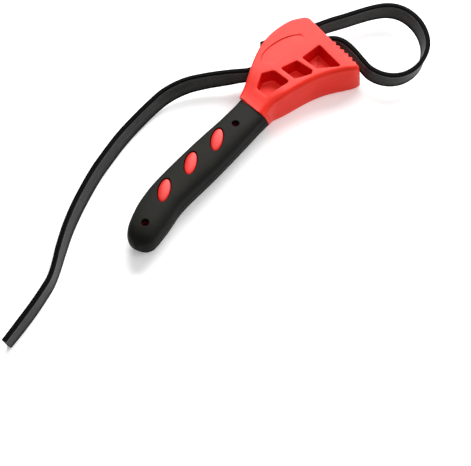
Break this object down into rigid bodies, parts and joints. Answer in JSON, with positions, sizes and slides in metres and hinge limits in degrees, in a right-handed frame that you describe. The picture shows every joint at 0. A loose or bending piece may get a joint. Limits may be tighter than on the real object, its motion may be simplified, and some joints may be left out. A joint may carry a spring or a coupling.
{
  "type": "strap wrench",
  "caption": "Rubber strap wrench with a toothed plastic head, a soft grip with oval windows and a strap that tightens by pulling its free end through the head.",
  "frame": {"origin": "centre of the hang hole in the butt of the grip, at mid thickness", "axes": "+X along the handle toward the head, +Y toward the side the free end of the strap leaves, +Z out of the front face"},
  "size_m": [0.3871, 0.1222, 0.027],
  "materials": {
    "core": "satin moulded nylon",
    "grip": "soft-touch moulding",
    "dowel": "ground",
    "strap": "moulded, matt with a fine crosswise texture"
  },
  "bodies": {
    "wrench": {"core": "core", "grip": "grip", "dowel": "dowel", "strap_eye": "strap", "strap_loop": "strap"},
    "free_end": {"strap_run": "strap"},
    "tail": {"strap_tail_1": "strap"},
    "tail_end": {"strap_tail_2": "strap"}
  },
  "joints": [
    {"name": "strap_feed", "type": "slide", "parent": "wrench", "child": "free_end", "axis": [-0.931, 0.3651, 0], "range_m": [0, 0.03]},
    {"name": "tail_swing", "type": "hinge", "parent": "free_end", "child": "tail", "pos_m": [0.1475, 0.0382, 0], "axis": [0, 0, 1], "range_deg": [-20, 6], "stiffness_Nm_per_rad": 0.02},
    {"name": "tail_bend", "type": "hinge", "parent": "tail", "child": "tail_end", "pos_m": [0.064, 0.0712, -0.00715], "axis": [0, 0, 1], "range_deg": [-25, 10], "stiffness_Nm_per_rad": 0.02}
  ]
}
